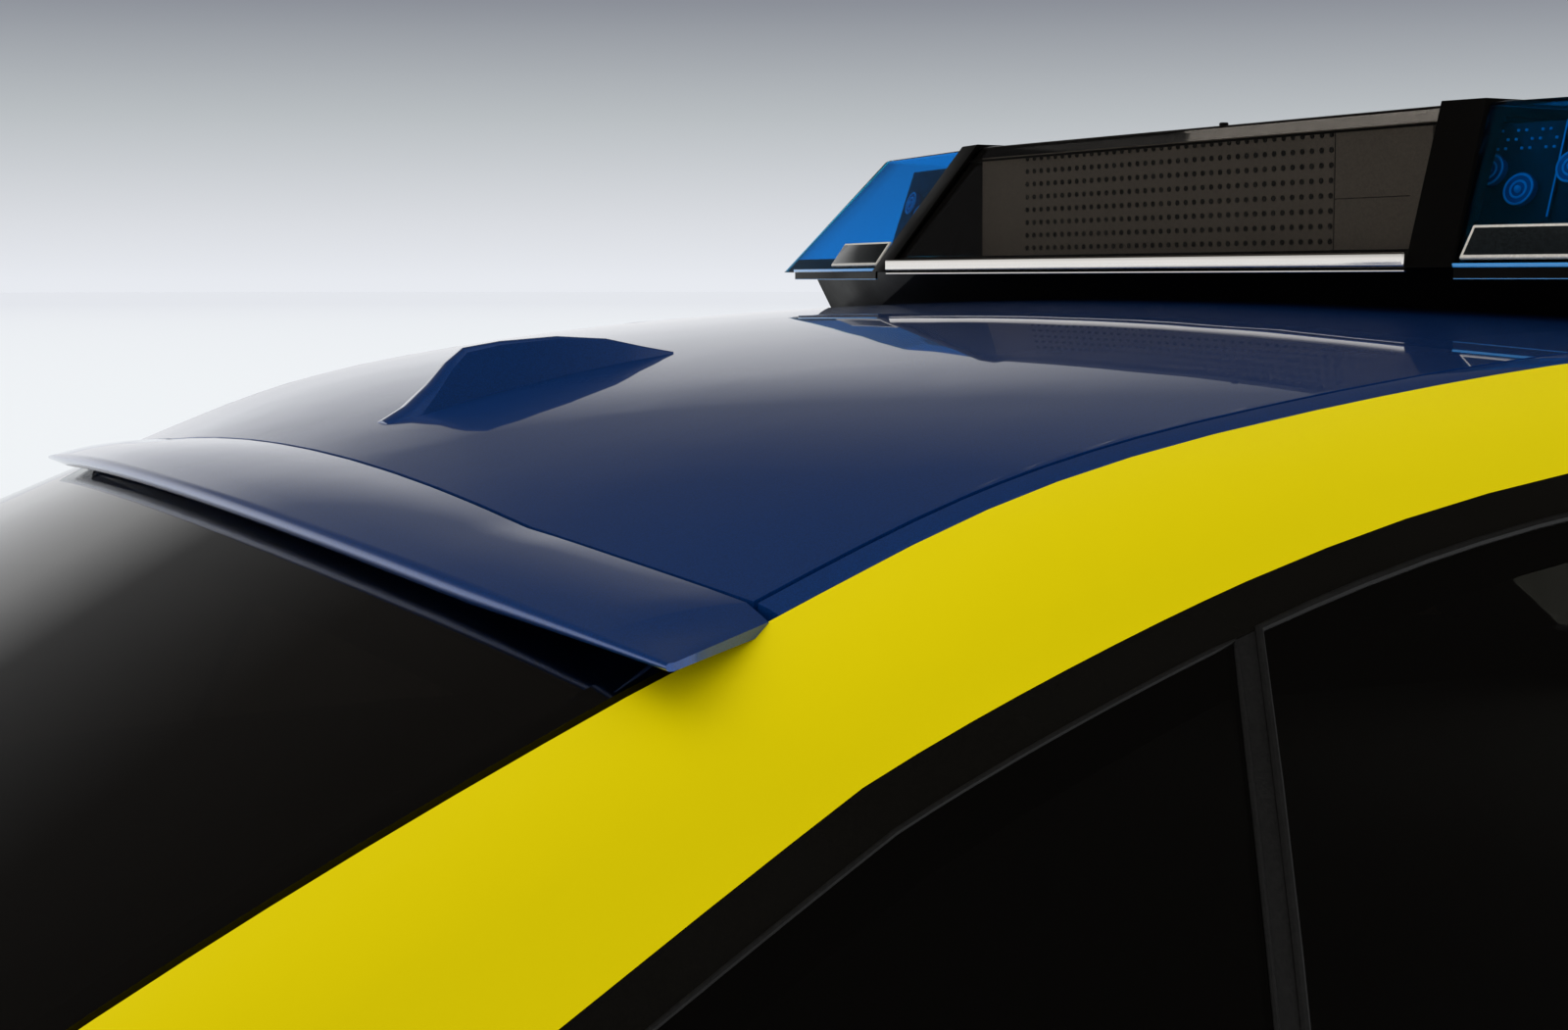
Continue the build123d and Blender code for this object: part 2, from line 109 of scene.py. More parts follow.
# Wipe marks: broad soft patches where a surface was wiped less clean
wipe, w_in, w_out = effect("wipe_marks", (("Scale", 5.0), ("Low", 0.0), ("High", 1.0)), "Mask")
w_place = wipe.nodes.new("ShaderNodeTexCoord")
w_stretch = wipe.nodes.new("ShaderNodeMapping")
w_stretch.inputs["Scale"].default_value = (1.0, 0.45, 1.6)
w_noise = wipe.nodes.new("ShaderNodeTexNoise")
w_noise.inputs["Detail"].default_value = 5.0
w_noise.inputs["Roughness"].default_value = 0.55
w_range = wipe.nodes.new("ShaderNodeMapRange")
w_range.inputs["From Min"].default_value = 0.35
w_range.inputs["From Max"].default_value = 0.7
wire(wipe, w_place, "Object", w_stretch, "Vector")
wire(wipe, w_stretch, "Vector", w_noise, "Vector")
wire(wipe, w_in, "Scale", w_noise, "Scale")
wire(wipe, w_noise, "Fac", w_range, "Value")
wire(wipe, w_in, "Low", w_range, "To Min")
wire(wipe, w_in, "High", w_range, "To Max")
wire(wipe, w_range, "Result", w_out, "Mask")

# Speckle: small cells that differ in brightness, for metal flakes and fibres
speckle, s_in, s_out = effect("speckle", (("Scale", 2500.0), ("Low", 0.8), ("High", 1.2)), "Gain")
s_place = speckle.nodes.new("ShaderNodeTexCoord")
s_cells = speckle.nodes.new("ShaderNodeTexVoronoi")
s_split = speckle.nodes.new("ShaderNodeSeparateColor")
s_range = speckle.nodes.new("ShaderNodeMapRange")
wire(speckle, s_place, "Object", s_cells, "Vector")
wire(speckle, s_in, "Scale", s_cells, "Scale")
wire(speckle, s_cells, "Color", s_split, 0)
wire(speckle, s_split, 0, s_range, "Value")
wire(speckle, s_in, "Low", s_range, "To Min")
wire(speckle, s_in, "High", s_range, "To Max")
wire(speckle, s_range, "Result", s_out, "Gain")

# Knit: crossing ribs of a woven or knitted cloth
knit, k_in, k_out = effect("knit", (("Scale", 500.0),), "Height")
k_place = knit.nodes.new("ShaderNodeTexCoord")
k_one = knit.nodes.new("ShaderNodeTexWave")
k_two = knit.nodes.new("ShaderNodeTexWave")
k_two.bands_direction = "Y"
k_add = knit.nodes.new("ShaderNodeMath")
for k_wave in (k_one, k_two):
    wire(knit, k_place, "Object", k_wave, "Vector")
    wire(knit, k_in, "Scale", k_wave, "Scale")
    k_wave.inputs["Distortion"].default_value = 1.5
wire(knit, k_one, "Fac", k_add, 0)
wire(knit, k_two, "Fac", k_add, 1)
wire(knit, k_add, "Value", k_out, "Height")


class Finish:
    """A material with its shader at hand, on which effects are laid one by one."""

    def __init__(self, name, color, **values):
        self.material = bpy.data.materials.new(name)
        self.material.use_nodes = True
        self.tree = self.material.node_tree
        self.shader = self.tree.nodes["Principled BSDF"]
        self.color = (*color, 1.0)
        self.shader.inputs["Base Color"].default_value = self.color
        for label, value in values.items():
            self.shader.inputs[label.replace("_", " ")].default_value = value

    def lay(self, group, **values):
        """One of the shared effects, placed in this material with its own values."""
        node = self.tree.nodes.new("ShaderNodeGroup")
        node.node_tree = group
        for label, value in values.items():
            node.inputs[label.replace("_", " ")].default_value = value
        return node

    def bump(self, group, distance, strength=1.0, **values):
        """Relief in metres from a group's Height."""
        node = self.lay(group, **values)
        relief = self.tree.nodes.new("ShaderNodeBump")
        relief.inputs["Distance"].default_value = distance
        relief.inputs["Strength"].default_value = strength
        wire(self.tree, node, "Height", relief, "Height")
        wire(self.tree, relief, "Normal", self.shader, "Normal")
        return self

    def uneven(self, scale, low, high):
        """Roughness that wanders between two values in broad patches."""
        node = self.lay(wipe, Scale=scale, Low=low, High=high)
        wire(self.tree, node, "Mask", self.shader, "Roughness")
        return self

    def speckled(self, scale, low, high):
        """Colour that differs a little from cell to cell."""
        node = self.lay(speckle, Scale=scale, Low=low, High=high)
        mix = self.tree.nodes.new("ShaderNodeMix")
        mix.data_type = "RGBA"
        mix.blend_type = "MULTIPLY"
        mix.inputs[0].default_value = 1.0
        mix.inputs[6].default_value = self.color
        wire(self.tree, node, "Gain", mix, 7)
        wire(self.tree, mix, 2, self.shader, "Base Color")
        return self

    def dusty(self, color, scale, low, high):
        """Broad patches of a second colour laid thinly over the first."""
        node = self.lay(wipe, Scale=scale, Low=low, High=high)
        mix = self.tree.nodes.new("ShaderNodeMix")
        mix.data_type = "RGBA"
        entry = self.shader.inputs["Base Color"]
        if entry.is_linked:
            self.tree.links.new(entry.links[0].from_socket, mix.inputs[6])
        else:
            mix.inputs[6].default_value = self.color
        mix.inputs[7].default_value = (*color, 1.0)
        wire(self.tree, node, "Mask", mix, 0)
        self.tree.links.new(mix.outputs[2], entry)
        return self


# Finishes: each with a name, a colour, the values of its shader, and then its effects
blue_paint = Finish("blue_paint", (0.0, 0.05, 0.235), Metallic=0.55, Roughness=0.34,
                    Coat_Weight=1.0, Coat_Roughness=0.015)
blue_paint.speckled(2600, 0.75, 1.3).uneven(4, 0.31, 0.4).bump(ripple, 0.00003, Scale=70, Grain_Share=0.1)
yellow_film = Finish("yellow_film", (0.74, 0.60, 0.0), Roughness=0.5, Specular_IOR_Level=0.03)
yellow_film.dusty((0.67, 0.535, 0.0), 2.4, 0.0, 0.5).uneven(6, 0.45, 0.6)
yellow_film.bump(ripple, 0.00006, Scale=45, Grain_Share=0.25)
black_trim = Finish("black_trim", (0.0035, 0.003, 0.0022), Roughness=0.3, Specular_IOR_Level=0.2)
black_trim.speckled(1500, 0.8, 1.25).uneven(8, 0.24, 0.38).bump(ripple, 0.00004, Scale=220, Grain=1800)
rubber = Finish("seal_rubber", (0.006, 0.0055, 0.005), Roughness=0.5, Specular_IOR_Level=0.3)
rubber.speckled(900, 0.75, 1.3).uneven(12, 0.45, 0.62)
rubber.bump(ripple, 0.00008, Scale=320, Grain=2400, Grain_Share=0.5)
dark_glass = Finish("dark_glass", (0.036, 0.031, 0.026), Roughness=0.015, Transmission_Weight=1.0, IOR=1.52)
dark_glass.uneven(3, 0.005, 0.03).bump(ripple, 0.00002, Scale=9, Grain_Share=0.0)
screen_glass = Finish("screen_glass", (0.5, 0.56, 0.54), Roughness=0.01, Transmission_Weight=1.0, IOR=1.52)
screen_glass.uneven(3, 0.003, 0.025).bump(ripple, 0.00002, Scale=9, Grain_Share=0.0)
frame_trim = Finish("frame_trim", (0.02, 0.02, 0.021), Roughness=0.6)
frame_trim.speckled(1200, 0.75, 1.3).uneven(7, 0.52, 0.7)
frame_trim.bump(ripple, 0.0002, Scale=700, Grain=1500, Grain_Share=0.4)
headlining = Finish("headlining", (0.09, 0.09, 0.094), Roughness=0.9, Sheen_Weight=0.3, Sheen_Roughness=0.5)
headlining.speckled(1400, 0.7, 1.3).bump(knit, 0.0004, Scale=260)
blue_dome = Finish("blue_dome", (0.002, 0.47, 0.87), Roughness=0.03, Transmission_Weight=1.0, IOR=1.12)
blue_dome.uneven(10, 0.01, 0.06).bump(ripple, 0.00003, Scale=40, Grain_Share=0.0)
bar_black = Finish("bar_black", (0.0022, 0.0019, 0.0016), Roughness=0.38, Specular_IOR_Level=0.05)
bar_black.speckled(1600, 0.8, 1.25).uneven(9, 0.3, 0.5).bump(ripple, 0.00006, Scale=300, Grain=2000)
bar_smoke = Finish("bar_smoke", (0.46, 0.43, 0.395), Roughness=0.05, Transmission_Weight=1.0, IOR=1.2)
bar_smoke.uneven(8, 0.03, 0.09).bump(ripple, 0.00003, Scale=30, Grain_Share=0.0)
bar_bright = Finish("bar_bright", (0.86, 0.82, 0.77), Metallic=1.0, Roughness=0.14)
bar_bright.uneven(15, 0.1, 0.2).bump(ripple, 0.00003, Scale=120)
lamp_clear = Finish("lamp_clear", (0.05, 0.17, 0.30), Roughness=0.12, Coat_Weight=0.6)
lamp_clear.uneven(30, 0.08, 0.2).bump(ripple, 0.00004, Scale=60, Grain_Share=0.0)
# Painted highlight: bright blue-white on the lamps' real rings, bulbs and chips, and on a line on the split
# bar that is only a highlight
lamp_rim_highlight = Finish("lamp_rim_highlight", (0.6, 0.85, 1.0), Roughness=0.25)
lamp_rim_highlight.uneven(40, 0.2, 0.35).bump(ripple, 0.00004, Scale=90)
lamp_board = Finish("lamp_board", (0.008, 0.010, 0.016), Roughness=0.45, Specular_IOR_Level=0.3)
lamp_board.speckled(500, 0.6, 1.6).uneven(40, 0.35, 0.6).bump(ripple, 0.0001, Scale=400)
pane_black = Finish("pane_black", (0.006, 0.008, 0.009), Roughness=0.08)
pane_black.speckled(700, 0.8, 1.3).uneven(20, 0.05, 0.12)
# Painted highlight: light blue for the bars that stand in for light caught on a dome's rounded foot
dome_edge_highlight = Finish("dome_edge_highlight", (0.05, 0.34, 0.8), Roughness=0.18, Coat_Weight=0.5)
dome_edge_highlight.uneven(20, 0.12, 0.25).bump(ripple, 0.00003, Scale=60)
pane_trim = Finish("pane_trim", (0.62, 0.58, 0.52), Roughness=0.35)
pane_trim.speckled(900, 0.9, 1.1).uneven(20, 0.3, 0.4)
sign_face = Finish("sign_face", (0.50, 0.46, 0.41), Roughness=0.5)
sign_face.speckled(900, 0.9, 1.1).uneven(9, 0.42, 0.6).bump(ripple, 0.00005, Scale=300)
sign_hole = Finish("sign_hole", (0.004, 0.004, 0.004), Roughness=0.35)
sign_hole.speckled(2000, 0.7, 1.4).uneven(30, 0.3, 0.5)

# Which CAD nodes wear which finish
DRESS = {
    blue_paint: ("roof_panel", "roof_strip_left", "roof_strip_right", "roof_spoiler", "fin_aerial",
                 "door_top_left", "door_top_right", "deck_rail", "cowl_rail"),
    yellow_film: ("side_panel_left", "side_panel_right"),
    black_trim: ("window_surround_left", "window_surround_right"),
    rubber: ("glass_divider_left", "glass_divider_right"),
    dark_glass: ("door_glass_left", "door_glass_right", "quarter_glass_left", "quarter_glass_right",
                 "rear_glass"),
    screen_glass: ("windscreen",),
    frame_trim: ("side_frame_left", "side_frame_right", "rear_header", "front_header"),
    headlining: ("headliner",),
    blue_dome: ("bar_dome_left", "bar_dome_right"),
    bar_black: ("bar_rib_left", "bar_rib_right", "bar_fairing", "bar_tray"),
    lamp_board: ("lamp_core_left", "lamp_core_right"),
    bar_smoke: ("bar_cover",),
    bar_bright: ("bar_strip",),
    lamp_clear: ("lamp_pane_left", "lamp_pane_right", "lamp_lenses_left", "lamp_lenses_right"),
    sign_face: ("sign_panel",),
}
for finish, members in DRESS.items():
    for member in members:
        nodes[member].data.materials.clear()
        nodes[member].data.materials.append(finish.material)

WELD = 0.00002                  # points closer than this are one point
SMOOTH_TO = math.radians(35)    # a new piece's edges are sharp past this angle
ROUND_FROM = math.radians(30)   # edges are rounded past this angle
RIM_OUT, RIM_ASIDE = 0.5, 0.25  # lean of a pane's outer face at least, and of the face round it at most
SIDES = (("right", 1), ("left", -1))
FACES = (-1, 1)                 # rear and front of the light bar


def done(piece, name, finish):
    """Name a new piece, give it its finish and let it ride with the body."""
    piece.name = name
    piece.data.name = name
    piece.data.materials.clear()
    piece.data.materials.append(finish.material)
    clear_pick()
    piece.select_set(True)
    bpy.context.view_layer.objects.active = piece
    bpy.ops.object.transform_apply(location=True, rotation=True, scale=True)
    bpy.ops.object.shade_smooth_by_angle(angle=SMOOTH_TO)
    clear_pick()
    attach(piece, "root")
    return piece


def merged_copy(node):
    """A loose copy of a CAD node with its facets joined, selected and active."""
    clear_pick()
    copy = nodes[node].copy()
    copy.data = nodes[node].data.copy()
    scene.collection.objects.link(copy)
    copy.parent = None
    for key in list(copy.keys()):
        del copy[key]
    bpy.context.view_layer.objects.active = copy
    copy.select_set(True)
    bpy.ops.object.mode_set(mode="EDIT")
    bpy.ops.mesh.select_all(action="SELECT")
    bpy.ops.mesh.remove_doubles(threshold=WELD)
    bpy.ops.object.mode_set(mode="OBJECT")
    return copy


def soften(piece, width, segments=3):
    """Round the edges of a piece."""
    edges = piece.modifiers.new("edges", "BEVEL")
    edges.width = width
    edges.segments = segments
    edges.limit_method = "ANGLE"
    edges.angle_limit = ROUND_FROM
    clear_pick()
    piece.select_set(True)
    bpy.context.view_layer.objects.active = piece
    bpy.ops.object.modifier_apply(modifier="edges")


def softened(node, name, width, finish):
    """A CAD node with rounded edges, shown in its place."""
    piece = merged_copy(node)
    bpy.ops.object.mode_set(mode="EDIT")
    bpy.ops.mesh.select_all(action="SELECT")
    bpy.ops.mesh.dissolve_limited(angle_limit=math.radians(1))
    bpy.ops.object.mode_set(mode="OBJECT")
    soften(piece, width)
    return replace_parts(done(piece, name, finish), node)


def block(size, place, turn=(0, 0, 0), soft=0.0):
    """A block of a given size, placed, turned and with softened edges."""
    clear_pick()
    bpy.ops.mesh.primitive_cube_add(size=1, location=place, rotation=turn)
    piece = bpy.context.object
    piece.scale = size
    bpy.ops.object.transform_apply(location=False, rotation=False, scale=True)
    if soft:
        soften(piece, soft)
    return piece


def joined(parts):
    """Several new pieces as one."""
    clear_pick()
    for part in parts:
        part.select_set(True)
    bpy.context.view_layer.objects.active = parts[0]
    bpy.ops.object.join()
    return bpy.context.object


def skin(loops):
    """A closed body through a row of closed outlines with the same number of points."""
    across, along = len(loops[0]), len(loops) - 1
    clear_pick()
    bpy.ops.mesh.primitive_grid_add(x_subdivisions=across, y_subdivisions=along, size=2)
    piece = bpy.context.object
    for vertex in piece.data.vertices:
        i = round((vertex.co.x + 1) / 2 * across)
        j = round((vertex.co.y + 1) / 2 * along)
        vertex.co = loops[j][i % across]
    bpy.ops.object.mode_set(mode="EDIT")
    bpy.ops.mesh.select_all(action="SELECT")
    bpy.ops.mesh.remove_doubles(threshold=WELD)
    bpy.ops.mesh.fill_holes(sides=0)
    bpy.ops.mesh.normals_make_consistent(inside=False)
    bpy.ops.object.mode_set(mode="OBJECT")
    return piece


def outer_rim(node, name, thick, side):
    """A round bead that follows the outer edge of a side pane; side is 1 on the right and -1 on the left."""
    copy = merged_copy(node)
    mesh = copy.data
    touching = {}
    for face in mesh.polygons:
        for key in face.edge_keys:
            touching.setdefault(key, []).append(face.normal.x * side)
    rim = {key for key, lean in touching.items()
           if len(lean) == 2 and max(lean) > RIM_OUT and min(lean) < RIM_ASIDE}
    bpy.ops.object.mode_set(mode="EDIT")
    bpy.ops.mesh.select_mode(type="EDGE")
    bpy.ops.mesh.select_all(action="DESELECT")
    bpy.ops.object.mode_set(mode="OBJECT")
    for edge in mesh.edges:
        edge.select = tuple(sorted(edge.vertices)) in rim
    bpy.ops.object.mode_set(mode="EDIT")
    bpy.ops.mesh.select_all(action="INVERT")
    bpy.ops.mesh.delete(type="EDGE_FACE")
    bpy.ops.mesh.select_all(action="SELECT")
    bpy.ops.object.mode_set(mode="OBJECT")
    bpy.ops.object.convert(target="CURVE")
    copy.data.bevel_depth = thick
    copy.data.bevel_resolution = 2
    bpy.ops.object.convert(target="MESH")
    return done(copy, name, rubber)


# Rubber beads round the side glass
DOOR_BEAD, QUARTER_BEAD = 0.002, 0.0013
for side, sign in SIDES:
    outer_rim(f"door_glass_{side}", f"door_seal_{side}", DOOR_BEAD, sign)
    outer_rim(f"quarter_glass_{side}", f"quarter_seal_{side}", QUARTER_BEAD, sign)

# Spoiler with a rounded lip and a hollow below it, from the roof's rear edge
TIP_Y, TIP_Z = -0.6025, 0.330   # its two rear corners
SPOILER_HALF = 0.530
SPOILER_BODY = 0.484            # half width of its closed body, between the free ends
LIP_BOW, LIP_RISE = 0.037, 0.024
LIP_T, LIP_END_T = 0.009, 0.003
THIN_FROM = 0.380               # where the lip starts to grow thinner
LIP_HOLLOW = 0.021              # from the lip's edge to the wall below it
HOLLOW_RISE = 0.002
GLASS_GAP = 0.0005
ROOT_T = 0.006
ROOT_SINK = 0.0006              # the spoiler starts this much below the roof's upper side
TOP_CROWN = 0.0022
TOP_STEPS = 6
NOSE_ANGLES = [math.radians(30 * step) for step in range(1, 6)]
DITCH_HALF = 0.486
# The roof's rear edge from the tips: in the middle, and how much further at the ditch
ROOF_EDGE = (0.026, 0.029)
ROOF_CUT = 0.038                # the roof's straight middle cut from the tips, less the open joint
# The spoiler's front edge past the ditch: aside of the middle, and from the tips
CORNERS = ((DITCH_HALF, 0.055), (0.503, 0.054), (SPOILER_HALF, 0.003))
BODY_STEPS = 40
FREE_END = (0.4845, 0.494, 0.503, 0.510, 0.520, SPOILER_HALF)


def surface(node, x, y):
    """Height of a CAD node's upper side over a place."""
    hit, place = nodes[node].ray_cast(Vector((x, y, 1)), Vector((0, 0, -1)))[:2]
    return place.z if hit else None


def root_y(x):
    """Front edge of the spoiler over a place aside of the middle."""
    x = abs(x)
    if x <= DITCH_HALF:
        return TIP_Y + max(ROOF_CUT, ROOF_EDGE[0] + ROOF_EDGE[1] * (x / DITCH_HALF) ** 2)
    (x0, y0), (x1, y1) = CORNERS[:2] if x < CORNERS[1][0] else CORNERS[1:]
    return TIP_Y + y0 + (y1 - y0) * (x - x0) / (x1 - x0)


def root_z(x):
    """Height of the roof's upper side at its rear edge, over a place aside of the middle."""
    found = (surface("roof_panel", x, root_y(x) + step * 0.001) for step in range(2, 40))
    return next(z for z in found if z) - ROOT_SINK


def blade(x):
    """Fore and aft outline of the spoiler over a place aside of the middle."""
    inward = 1 - (x / SPOILER_HALF) ** 2
    lip_y, lip_z = TIP_Y - LIP_BOW * inward, TIP_Z + LIP_RISE * inward
    free = max(0.0, abs(x) - SPOILER_BODY) / (SPOILER_HALF - SPOILER_BODY)
    thick = LIP_T + (LIP_END_T - LIP_T) * max(0.0, abs(x) - THIN_FROM) / (SPOILER_HALF - THIN_FROM)
    back = root_y(x)
    high = root_z(max(-SPOILER_BODY, min(SPOILER_BODY, x)))
    if free:
        high = high * (1 - free) + TIP_Z * free
    top = []
    for step in range(TOP_STEPS + 1):
        f = step / TOP_STEPS
        crown = 4 * f * (1 - f) * TOP_CROWN * (1 - free)
        y = back + (lip_y + thick / 2 - back) * f
        top.append((y, high + (lip_z - high) * f + crown))
    nose = [(lip_y + thick / 2 * (1 - math.sin(a)), lip_z - thick / 2 * (1 - math.cos(a)))
            for a in NOSE_ANGLES]
    chin = (lip_y + thick / 2, lip_z - thick)
    if free:
        under = [chin] + [(y, z - thick) for y, z in (top[-2], top[2], top[0])]
    else:
        wall = lip_y + LIP_HOLLOW
        glass_z = surface("rear_glass", x, wall)
        under = [chin, (wall, chin[1] + HOLLOW_RISE), (wall, glass_z + GLASS_GAP), (back, high - ROOT_T)]
    return [Vector((x, y, z)) for y, z in top + nose + under]


spans = [-x for x in reversed(FREE_END)]
spans += [SPOILER_BODY * (2 * step / BODY_STEPS - 1) for step in range(BODY_STEPS + 1)]
spans += FREE_END
spoiler = skin([blade(x) for x in spans])
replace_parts(done(spoiler, "spoiler", blue_paint), "roof_spoiler")

# Fin aerial: y from the spoiler tips, height above the roof, half width at the foot and at the crest
FIN = (
    (0.080, 0.0015, 0.0220, 0.0205), (0.094, 0.0055, 0.0210, 0.0180), (0.107, 0.0135, 0.0195, 0.0135),
    (0.118, 0.0230, 0.0180, 0.0095), (0.128, 0.0285, 0.0170, 0.0065), (0.150, 0.0270, 0.0150, 0.0050),
    (0.185, 0.0225, 0.0115, 0.0040), (0.216, 0.0155, 0.0075, 0.0030), (0.240, 0.0070, 0.0045, 0.0020),
    (0.259, 0.0010, 0.0022, 0.0012))
FIN_ROOT = 0.008                # how deep the fin reaches into the roof
# The crest's rounding: its fall as a share of its half width, and the shoulder's place in it
CREST_FALL = 0.4
SHOULDER = (0.6, 0.75)


def fin_outline(y, rise, foot, crest):
    """Outline of the fin across the car, at a place along it."""
    y += TIP_Y
    base = surface("roof_panel", 0, y)
    low, high = base - FIN_ROOT, base + rise
    brow = high - crest * CREST_FALL
    shoulder_x, shoulder_z = crest * SHOULDER[0], brow + (high - brow) * SHOULDER[1]
    corners = ((-foot, low), (foot, low), (crest, brow), (shoulder_x, shoulder_z), (0, high),
               (-shoulder_x, shoulder_z), (-crest, brow))
    return [Vector((x, y, z)) for x, z in corners]


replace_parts(done(skin([fin_outline(*row) for row in FIN]), "fin", blue_paint), "fin_aerial")

# Measures of the light bar: foot and crest of its cover as half depth and half width
cover_low, cover_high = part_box("bar_cover")
BAR_MID = (cover_low.y + cover_high.y) / 2
BAR_FOOT = cover_low.z
BAR_TALL = cover_high.z - cover_low.z
FOOT_DEEP = (cover_high.y - cover_low.y) / 2
FOOT_HALF = cover_high.x
CREST_DEEP = 0.096
CREST_HALF = 0.240
SWEEP = 0.19                    # how fast a dome narrows towards its end
COVER_LEAN = (FOOT_DEEP - CREST_DEEP) / BAR_TALL
DOME_LEAN = COVER_LEAN + SWEEP * (FOOT_HALF - CREST_HALF) / BAR_TALL
BOARD_LEAN = 0.347
BOARD_START = 0.270
BOARD_FOOT_DEEP, BOARD_FOOT_RISE = 0.105, 0.011


def turned(lean, sweep, face):
    """Turn of a plate on a leaning and swept side of the bar; face is -1 at its rear and 1 at its front."""
    along = Vector((1, -face * sweep, 0)).normalized()
    out = Vector((sweep, face, lean)).normalized()
    up = out.cross(along)
    return Matrix((along, up, out)).transposed().to_euler()


def on_dome(x, rise, sign, face, out=0.0):
    """Place on the outer side of a lamp dome, at a height over the bar's foot."""
    deep = FOOT_DEEP - DOME_LEAN * rise - SWEEP * (x - FOOT_HALF) + out
    return Vector((sign * x, BAR_MID + face * deep, BAR_FOOT + rise))


def on_board(x, rise, sign, face, out=0.0):
    """Place on a lamp board inside a dome, at a height over the bar's foot."""
    deep = BOARD_FOOT_DEEP - BOARD_LEAN * (rise - BOARD_FOOT_RISE) - SWEEP * (x - BOARD_START) + out
    return Vector((sign * x, BAR_MID + face * deep, BAR_FOOT + rise))


# Ribs with their webs between cover and dome
RIB_ROUND = 0.004
WEB_FOOT, WEB_TOP = (0.146, 0.011), (0.092, 0.086)      # half depth, and height over the bar's foot
WEB_FACES = (0.004, 0.006)      # the web's two sides, outward of the cover's end


def web_outline(sign, outward):
    """Outline of a web beside the cover's end."""
    corners = []
    for face, (deep, rise) in ((-1, WEB_FOOT), (-1, WEB_TOP), (1, WEB_TOP), (1, WEB_FOOT)):
        x = FOOT_HALF - (FOOT_HALF - CREST_HALF) * rise / BAR_TALL + outward
        corners.append(Vector((sign * x, BAR_MID + face * deep, BAR_FOOT + rise)))
    return corners


for side, sign in SIDES:
    softened(f"bar_rib_{side}", f"rib_{side}", RIB_ROUND, bar_black)
for side, sign in SIDES:
    web = skin([web_outline(sign, outward) for outward in WEB_FACES])
    done(web, f"rib_web_{side}", bar_black)

# Bright strip with the thin line below it, and the seam of the lid
STRIP_SIZE, STRIP_ROUND = (FOOT_HALF * 2, 0.0026, 0.0080), 0.0011
STRIP_OUT, STRIP_RISE = 0.0013, 0.0046
LINE_SIZE, LINE_ROUND = (FOOT_HALF * 2, 0.0030, 0.0013), 0.0004
LINE_IN, LINE_RISE = 0.001, -0.0016
SEAM_SIZE = (0.486, 0.0016, 0.0008)
SEAM_RISE = 0.082
strips, seams = [], []
for face in FACES:
    strip_y = BAR_MID + face * (FOOT_DEEP + STRIP_OUT)
    seam_y = BAR_MID + face * (FOOT_DEEP - COVER_LEAN * SEAM_RISE)
    strips.append(block(STRIP_SIZE, (0, strip_y, BAR_FOOT + STRIP_RISE), soft=STRIP_ROUND))
    strips.append(block(LINE_SIZE, (0, strip_y - face * LINE_IN, BAR_FOOT + LINE_RISE), soft=LINE_ROUND))
    seams.append(block(SEAM_SIZE, (0, seam_y, BAR_FOOT + SEAM_RISE), turned(COVER_LEAN, 0, face)))
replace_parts(done(joined(strips), "bright_strip", bar_bright), "bar_strip")
done(joined(seams), "lid_seam", bar_black)

# Stud on the crest
STUD_RADIUS, STUD_TALL, STUD_ROUND = 0.003, 0.003, 0.0008
STUD_X, STUD_IN, STUD_RISE = 0.038, 0.006, 0.0005
clear_pick()
bpy.ops.mesh.primitive_cylinder_add(
    vertices=16, radius=STUD_RADIUS, depth=STUD_TALL,
    location=(STUD_X, BAR_MID - CREST_DEEP + STUD_IN, BAR_FOOT + BAR_TALL + STUD_RISE))
stud = bpy.context.object
soften(stud, STUD_ROUND)
done(stud, "crest_stud", bar_black)

# Fairing below the bar, drawn in towards the roof
FAIRING_DRAW = (0.955, 0.88, 1.0)
FAIRING_RIM = 0.002             # the upper rim keeps its size
fairing = merged_copy("bar_fairing")
top_z = max(v.co.z for v in fairing.data.vertices)
bpy.ops.object.mode_set(mode="EDIT")
bpy.ops.mesh.select_mode(type="VERT")
bpy.ops.mesh.select_all(action="DESELECT")
bpy.ops.object.mode_set(mode="OBJECT")
for vertex in fairing.data.vertices:
    vertex.select = vertex.co.z < top_z - FAIRING_RIM
bpy.ops.object.mode_set(mode="EDIT")
bpy.ops.transform.resize(value=FAIRING_DRAW, center_override=(0, BAR_MID, top_z))
bpy.ops.object.mode_set(mode="OBJECT")
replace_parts(done(fairing, "fairing", bar_black), "bar_fairing")

# Bars along a dome's foot, the first two painted highlights of its rounded rim: height, place over the bar's
# foot, place outward of the dome, rounding
FOOT_HIGHLIGHTS = ((0.0024, 0.0012, 0.0004, 0.0005), (0.0010, -0.0056, -0.006, 0.0))
FOOT_SKIRT = (0.0056, -0.0029, -0.004, 0.0)
FOOT_BAR_MID, FOOT_BAR_LONG, FOOT_BAR_T = 0.402, 0.200, 0.0016

# Boards inside the domes: sizes, and places aside of the middle and over the bar's foot
BOARD_SIZE, BOARD_MID, BOARD_ROUND = (0.130, 0.072, 0.003), (0.331, 0.046), 0.0008
BOARD_IN = -0.002
# The upright bar that parts a board in two, and the painted highlight line on it
SPLIT_SIZE, SPLIT_MID = (0.0012, 0.060, 0.004), (0.3145, 0.054)
SPLIT_HIGHLIGHT, SPLIT_HIGHLIGHT_OUT = (0.0009, 0.056, 0.001), 0.002

# Lamps on the boards, as places aside of the middle and over the bar's foot, and the small chips above them
LAMPS = ((0.2735, 0.0545), (0.2955, 0.0430), (0.3240, 0.0545), (0.3460, 0.0430), (0.3685, 0.0545))
CUP_RADIUS, CUP_DEEP, CUP_SIDES = 0.0092, 0.004, 28
RING_RADII, RING_WIRE, RING_OUT = (0.0086, 0.0048), 0.0007, 0.0042
BULB_RADIUS, BULB_OUT = 0.0022, 0.0045
CHIP_SIZE, CHIP_OUT = (0.0013, 0.0013, 0.001), 0.001
CHIP_START, CHIP_STEP, CHIP_COLUMNS = 0.268, 0.005, 9
CHIP_ROWS = (0.066, 0.071, 0.076)

